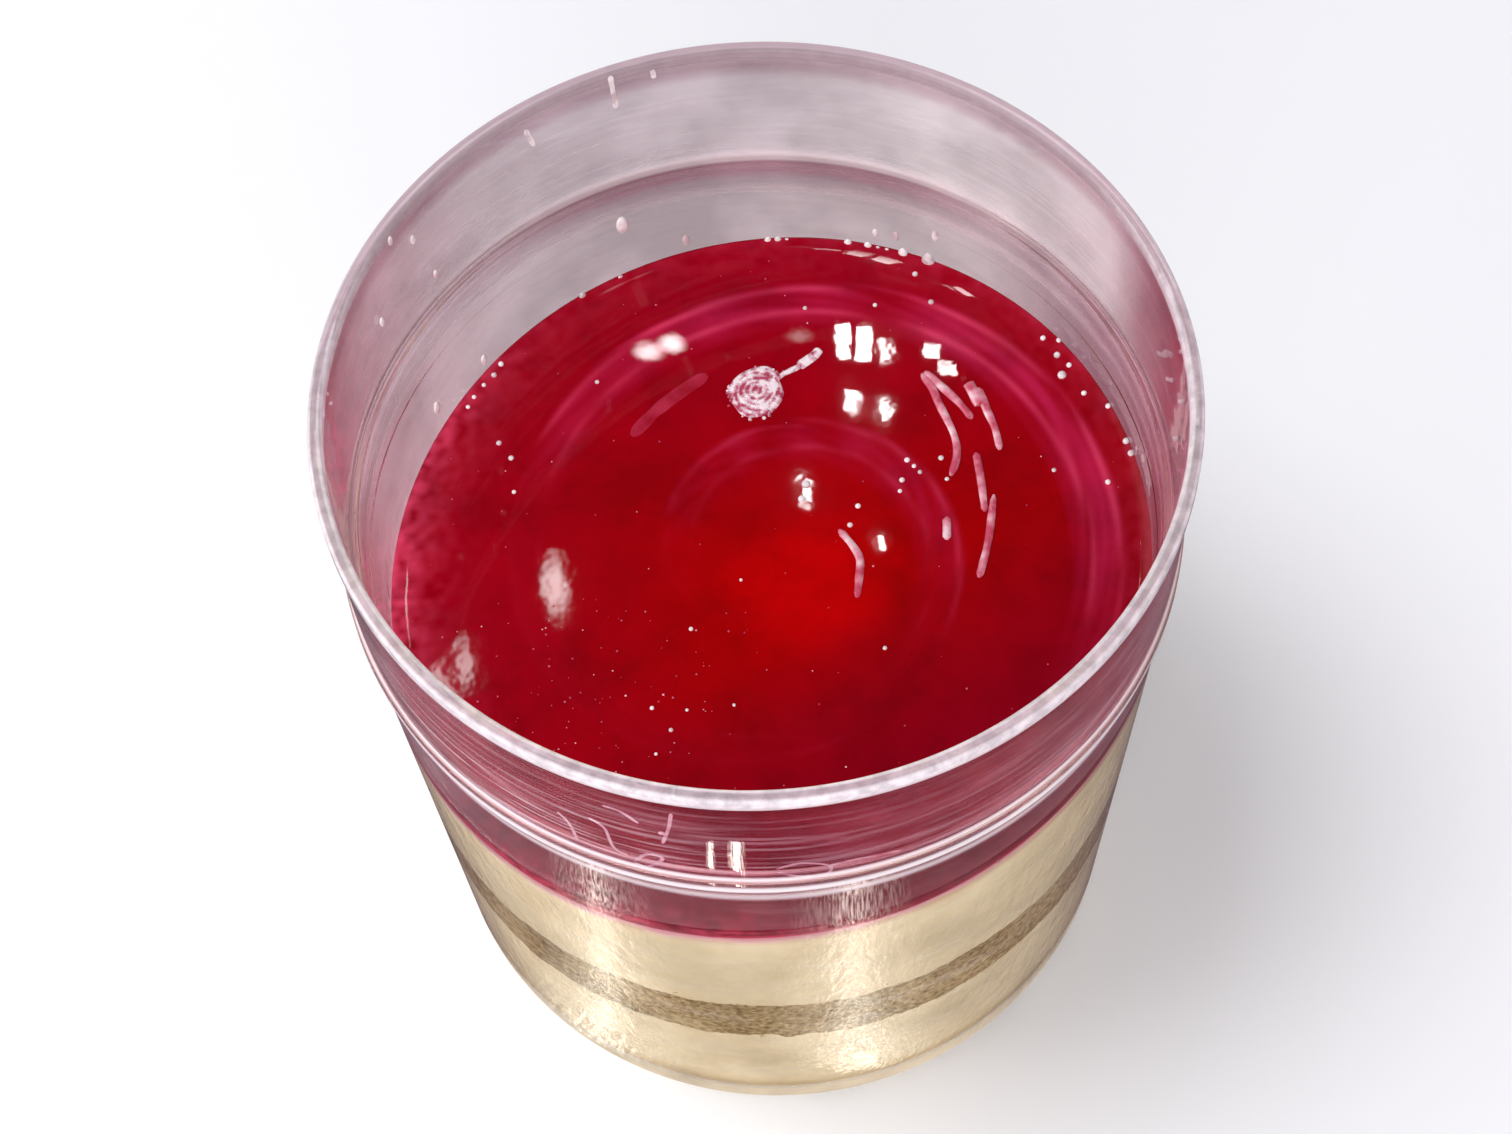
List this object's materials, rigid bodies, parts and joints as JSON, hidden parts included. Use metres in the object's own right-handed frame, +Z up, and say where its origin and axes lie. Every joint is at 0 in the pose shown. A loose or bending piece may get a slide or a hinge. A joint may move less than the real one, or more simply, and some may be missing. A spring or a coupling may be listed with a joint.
{
  "type": "cheesecake cup",
  "caption": "Layered cheesecake dessert in a clear tapered plastic cup: cream, a crumb sponge band, more cream and a glossy red jelly set in a dish on top.",
  "frame": {"origin": "centre of the cup's foot, on the surface it stands on", "axes": "+Z up along the cup's axis, +Y away from the viewer of the picture, +X to the viewer's right"},
  "size_m": [0.085, 0.085, 0.0905],
  "materials": {
    "clear_plastic": "clear, glossy, injection moulded",
    "jelly": "deep red, wet gloss",
    "cream": "pale cream, soft satin",
    "sponge": "moist crumb, matt"
  },
  "bodies": {
    "root": {"cup": "clear_plastic", "jelly": "jelly", "cream_upper": "cream", "sponge": "sponge", "cream_lower": "cream"}
  },
  "joints": []
}
